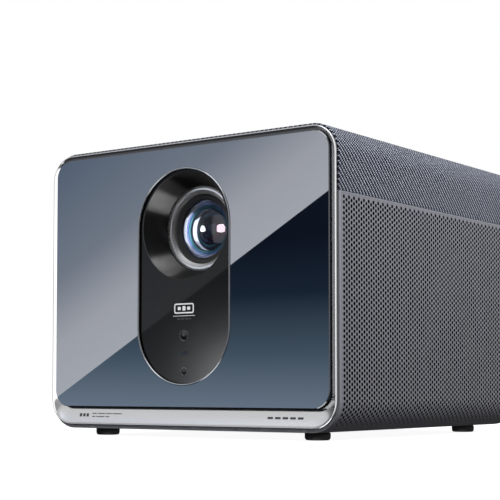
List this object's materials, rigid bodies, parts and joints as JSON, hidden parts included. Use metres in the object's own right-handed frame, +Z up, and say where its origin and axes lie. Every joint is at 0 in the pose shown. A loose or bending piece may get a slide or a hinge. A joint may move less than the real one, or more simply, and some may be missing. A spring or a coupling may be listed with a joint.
{
  "type": "home projector",
  "caption": "Box-shaped home projector with a floating tinted glass front, a pill-shaped lens insert, a fabric top and perforated sides.",
  "frame": {"origin": "on the ground under the middle of the projector's box", "axes": "+X to the right seen from the front, the front faces -Y, +Z up"},
  "size_m": [0.242, 0.263, 0.2006],
  "materials": {
    "silver_bezel": "satin, bright edge",
    "tinted_glass": "tinted, back-printed",
    "black_foam": "matt",
    "bright_trim": "bright",
    "gloss_black": "gloss",
    "sensor_glass": "dark",
    "lens_glass": "multi-coated",
    "lens_black": "satin",
    "knurled_silver": "knurled",
    "gear_plastic": "moulded",
    "brass": "turned",
    "shell_plastic": "satin",
    "inner_plastic": "matt",
    "fabric": "woven",
    "grille_metal": "satin paint",
    "mesh_cloth": "fine mesh",
    "port_black": "matt",
    "button_plastic": "satin",
    "light_pipe": "frosted",
    "steel": "plated",
    "foot_rubber": "matt",
    "board": "solder mask",
    "die_cast": "cast",
    "fin_aluminium": "rolled",
    "copper": "copper",
    "phosphor": "phosphor coat",
    "fan_plastic": "matt",
    "cone_paper": "paper"
  },
  "bodies": {
    "housing": {"front_bezel": "silver_bezel", "front_glass": "tinted_glass", "glass_gasket": "black_foam", "pill_trim": "bright_trim", "lens_bezel": "gloss_black", "camera_window": "sensor_glass", "tof_window": "sensor_glass", "ir_window": "sensor_glass", "sensor_board": "board", "front_frame": "inner_plastic", "lens_ring": "knurled_silver", "lens_barrel": "lens_black", "focus_motor": "steel", "lower_shell": "shell_plastic", "top_shell": "inner_plastic", "fabric_cover": "fabric", "left_grille": "grille_metal", "right_grille": "grille_metal", "left_dust_mesh": "mesh_cloth", "right_dust_mesh": "mesh_cloth", "rear_cover": "shell_plastic", "port_plate": "port_black", "status_led": "light_pipe", "hdmi_ports": "steel", "usb_ports": "steel", "lan_port": "steel", "audio_jack": "port_black", "power_inlet": "port_black", "foot_front_left": "foot_rubber", "foot_front_right": "foot_rubber", "foot_rear_left": "foot_rubber", "foot_rear_right": "foot_rubber", "case_screws": "steel", "tripod_insert": "brass", "engine_tray": "steel", "light_engine": "die_cast", "dmd_board": "board", "dmd_heatsink": "fin_aluminium", "laser_module": "die_cast", "cold_plate": "copper", "heat_pipes": "copper", "heatsink_fins": "fin_aluminium", "wheel_motor": "steel", "main_board": "board", "power_board": "board", "fan_left_frame": "fan_plastic", "fan_right_frame": "fan_plastic", "speaker_left": "fan_plastic", "speaker_right": "fan_plastic"},
    "fan_left": {"fan_left_rotor": "fan_plastic"},
    "fan_right": {"fan_right_rotor": "fan_plastic"},
    "colour_wheel": {"phosphor_wheel": "phosphor"},
    "focus_ring": {"focus_ring_gear": "gear_plastic"},
    "focus_drive": {"focus_pinion": "brass"},
    "focus_group": {"focus_cell": "lens_black", "lens_front_element": "lens_glass", "lens_second_element": "lens_glass"},
    "button": {"power_button": "button_plastic"},
    "left_cone": {"speaker_left_cone": "cone_paper"},
    "right_cone": {"speaker_right_cone": "cone_paper"}
  },
  "joints": [
    {"name": "fan_left_spin", "type": "hinge", "parent": "housing", "child": "fan_left", "pos_m": [-0.1015, 0.074, 0.082], "axis": [1, 0, 0], "continuous": true},
    {"name": "fan_right_spin", "type": "hinge", "parent": "housing", "child": "fan_right", "pos_m": [0.1015, 0.074, 0.082], "axis": [1, 0, 0], "continuous": true},
    {"name": "colour_wheel_spin", "type": "hinge", "parent": "housing", "child": "colour_wheel", "pos_m": [0.028, 0.0555, 0.146], "axis": [0, 1, 0], "continuous": true},
    {"name": "focus_ring_turn", "type": "hinge", "parent": "housing", "child": "focus_ring", "pos_m": [0, -0.088, 0.142], "axis": [0, 1, 0], "range_deg": [-50, 50]},
    {"name": "focus_pinion_turn", "type": "hinge", "parent": "housing", "child": "focus_drive", "pos_m": [0.02386, -0.088, 0.11814], "axis": [0, 1, 0], "range_deg": [-305, 305]},
    {"name": "focus_slide", "type": "slide", "parent": "housing", "child": "focus_group", "axis": [0, 1, 0], "range_m": [-0.00087, 0.00087]},
    {"name": "power_button_press", "type": "slide", "parent": "housing", "child": "button", "axis": [0, -1, 0], "range_m": [0, 0.001], "stiffness_N_per_m": 700, "springref_m": -0.0005},
    {"name": "left_cone_travel", "type": "slide", "parent": "housing", "child": "left_cone", "axis": [-1, 0, 0], "range_m": [-0.0015, 0.0015], "stiffness_N_per_m": 1500},
    {"name": "right_cone_travel", "type": "slide", "parent": "housing", "child": "right_cone", "axis": [1, 0, 0], "range_m": [-0.0015, 0.0015], "stiffness_N_per_m": 1500}
  ],
  "couplings": [
    {"joint": "focus_ring_turn", "follows": "focus_slide", "rad_per_m": 1000},
    {"joint": "focus_pinion_turn", "follows": "focus_slide", "rad_per_m": -6000}
  ]
}
